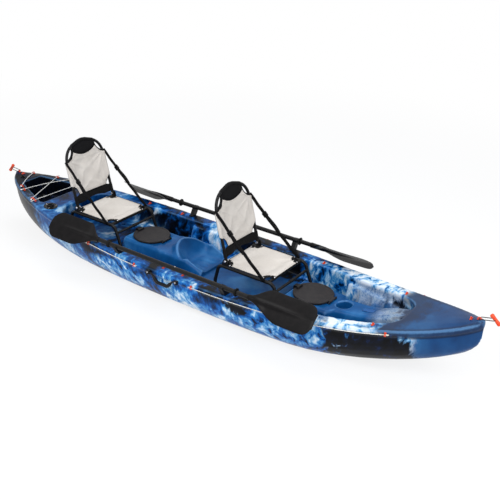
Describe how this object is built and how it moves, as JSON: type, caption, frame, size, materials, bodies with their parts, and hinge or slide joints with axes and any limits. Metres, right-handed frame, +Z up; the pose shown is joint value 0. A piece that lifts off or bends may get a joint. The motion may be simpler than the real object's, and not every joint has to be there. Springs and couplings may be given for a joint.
{
  "type": "tandem kayak",
  "caption": "Sit-on-top tandem kayak: hollow moulded hull with footwells, tank well and scuppers, folding framed sling seats, hinged round hatches, rod holders and paddles on gunwale rests.",
  "frame": {"origin": "on the flat runners under the hull, on the centreline, halfway between stem and stern", "axes": "+X to the bow, +Y to port, +Z up"},
  "size_m": [3.9139, 0.9614, 0.8152],
  "materials": {
    "hull_plastic": "rotomoulded, satin, marbled blue, white and black",
    "black_plastic": "moulded, satin",
    "lid_plastic": "moulded, fine grain",
    "gasket_rubber": "smooth",
    "steel": "satin",
    "orange_plastic": "moulded, satin",
    "white_cord": "braided",
    "flecked_cord": "braided, white with dark flecks",
    "black_cord": "braided",
    "black_frame": "black powder coat",
    "black_cloth": "woven",
    "foot_rubber": "smooth",
    "beige_mesh": "open mesh, padded",
    "black_webbing": "flat webbing",
    "blade_plastic": "moulded, satin",
    "shaft_metal": "black anodised"
  },
  "bodies": {
    "hull": {"hull_shell": "hull_plastic", "front_hatch_frame": "black_plastic", "rear_hatch_frame": "black_plastic", "hatch_gaskets": "gasket_rubber", "hatch_hinge_pins": "steel", "deck_screws": "steel", "starboard_rod_holder": "black_plastic", "port_rod_holder": "black_plastic", "pad_eyes": "orange_plastic", "tank_well_bungee": "white_cord", "deck_lines": "flecked_cord", "paddle_rests": "black_plastic", "handle_brackets": "black_plastic", "front_seat_side_frames": "black_frame", "front_seat_cross_tubes": "black_frame", "front_seat_corner_plates": "black_cloth", "front_seat_feet": "foot_rubber", "front_seat_pan": "beige_mesh", "front_seat_pivot_bolts": "steel", "front_seat_straps": "black_webbing", "front_seat_buckles": "black_plastic", "rear_seat_side_frames": "black_frame", "rear_seat_cross_tubes": "black_frame", "rear_seat_corner_plates": "black_cloth", "rear_seat_feet": "foot_rubber", "rear_seat_pan": "beige_mesh", "rear_seat_pivot_bolts": "steel", "rear_seat_straps": "black_webbing", "rear_seat_buckles": "black_plastic"},
    "front_seat_back": {"front_seat_back_frame": "black_frame", "front_seat_back_panel": "beige_mesh", "front_seat_head_panel": "black_cloth", "front_seat_lumbar_band": "black_cloth"},
    "rear_seat_back": {"rear_seat_back_frame": "black_frame", "rear_seat_back_panel": "beige_mesh", "rear_seat_head_panel": "black_cloth", "rear_seat_lumbar_band": "black_cloth"},
    "front_hatch_lid": {"front_hatch_lid": "lid_plastic"},
    "front_hatch_latch": {"front_hatch_latch": "black_plastic"},
    "rear_hatch_lid": {"rear_hatch_lid": "lid_plastic"},
    "rear_hatch_latch": {"rear_hatch_latch": "black_plastic"},
    "bow_toggle": {"bow_toggle": "orange_plastic", "bow_toggle_cord": "black_cord"},
    "stern_toggle": {"stern_toggle": "orange_plastic", "stern_toggle_cord": "black_cord"},
    "starboard_handle": {"starboard_handle": "black_plastic"},
    "port_handle": {"port_handle": "black_plastic"},
    "starboard_paddle": {"starboard_paddle_blades": "blade_plastic", "starboard_paddle_fore_shaft": "shaft_metal", "starboard_paddle_aft_shaft": "shaft_metal", "starboard_paddle_drip_rings": "gasket_rubber"},
    "starboard_paddle_button": {"starboard_paddle_button": "steel"},
    "port_paddle": {"port_paddle_blades": "blade_plastic", "port_paddle_fore_shaft": "shaft_metal", "port_paddle_aft_shaft": "shaft_metal", "port_paddle_drip_rings": "gasket_rubber"},
    "port_paddle_button": {"port_paddle_button": "steel"},
    "drain_plug": {"drain_plug": "black_plastic"}
  },
  "joints": [
    {"name": "front_seat_back_fold", "type": "hinge", "parent": "hull", "child": "front_seat_back", "pos_m": [0.281, 0, 0.372], "axis": [0, 1, 0], "range_deg": [0, 95], "deforming": ["front_seat_straps", "front_seat_buckles"]},
    {"name": "rear_seat_back_fold", "type": "hinge", "parent": "hull", "child": "rear_seat_back", "pos_m": [-1.021, 0, 0.372], "axis": [0, 1, 0], "range_deg": [0, 95], "deforming": ["rear_seat_straps", "rear_seat_buckles"]},
    {"name": "front_hatch_lid_hinge", "type": "hinge", "parent": "hull", "child": "front_hatch_lid", "pos_m": [0.955, 0, 0.256], "axis": [0, 1, 0], "range_deg": [0, 110]},
    {"name": "front_hatch_latch_flip", "type": "hinge", "parent": "front_hatch_lid", "child": "front_hatch_latch", "pos_m": [0.721, 0, 0.2685], "axis": [0, 1, 0], "range_deg": [0, 80]},
    {"name": "rear_hatch_lid_hinge", "type": "hinge", "parent": "hull", "child": "rear_hatch_lid", "pos_m": [-0.354, 0, 0.256], "axis": [0, 1, 0], "range_deg": [0, 110]},
    {"name": "rear_hatch_latch_flip", "type": "hinge", "parent": "rear_hatch_lid", "child": "rear_hatch_latch", "pos_m": [-0.588, 0, 0.2685], "axis": [0, 1, 0], "range_deg": [0, 80]},
    {"name": "bow_toggle_swing", "type": "hinge", "parent": "hull", "child": "bow_toggle", "pos_m": [1.841, 0, 0.46723], "axis": [0, -1, 0], "range_deg": [0, 110]},
    {"name": "stern_toggle_swing", "type": "hinge", "parent": "hull", "child": "stern_toggle", "pos_m": [-1.841, 0, 0.39142], "axis": [0, 1, 0], "range_deg": [0, 110]},
    {"name": "starboard_handle_swing", "type": "hinge", "parent": "hull", "child": "starboard_handle", "pos_m": [-0.024, -0.43199, 0.26004], "axis": [-1, 0, 0], "range_deg": [0, 100]},
    {"name": "port_handle_swing", "type": "hinge", "parent": "hull", "child": "port_handle", "pos_m": [-0.024, 0.43199, 0.26004], "axis": [1, 0, 0], "range_deg": [0, 100]},
    {"name": "starboard_paddle_lift", "type": "slide", "parent": "hull", "child": "starboard_paddle", "axis": [0, 0, 1], "range_m": [0, 0.25]},
    {"name": "starboard_paddle_button_press", "type": "slide", "parent": "starboard_paddle", "child": "starboard_paddle_button", "axis": [0, 0, -1], "range_m": [0, 0.003], "stiffness_N_per_m": 400},
    {"name": "port_paddle_lift", "type": "slide", "parent": "hull", "child": "port_paddle", "axis": [0, 0, 1], "range_m": [0, 0.25]},
    {"name": "port_paddle_button_press", "type": "slide", "parent": "port_paddle", "child": "port_paddle_button", "axis": [0, 0, -1], "range_m": [0, 0.003], "stiffness_N_per_m": 400},
    {"name": "drain_plug_turn", "type": "hinge", "parent": "hull", "child": "drain_plug", "pos_m": [-1.765, -0.034, 0.37223], "axis": [0.1213, -0.0477, 0.9915], "range_deg": [0, 360]}
  ]
}
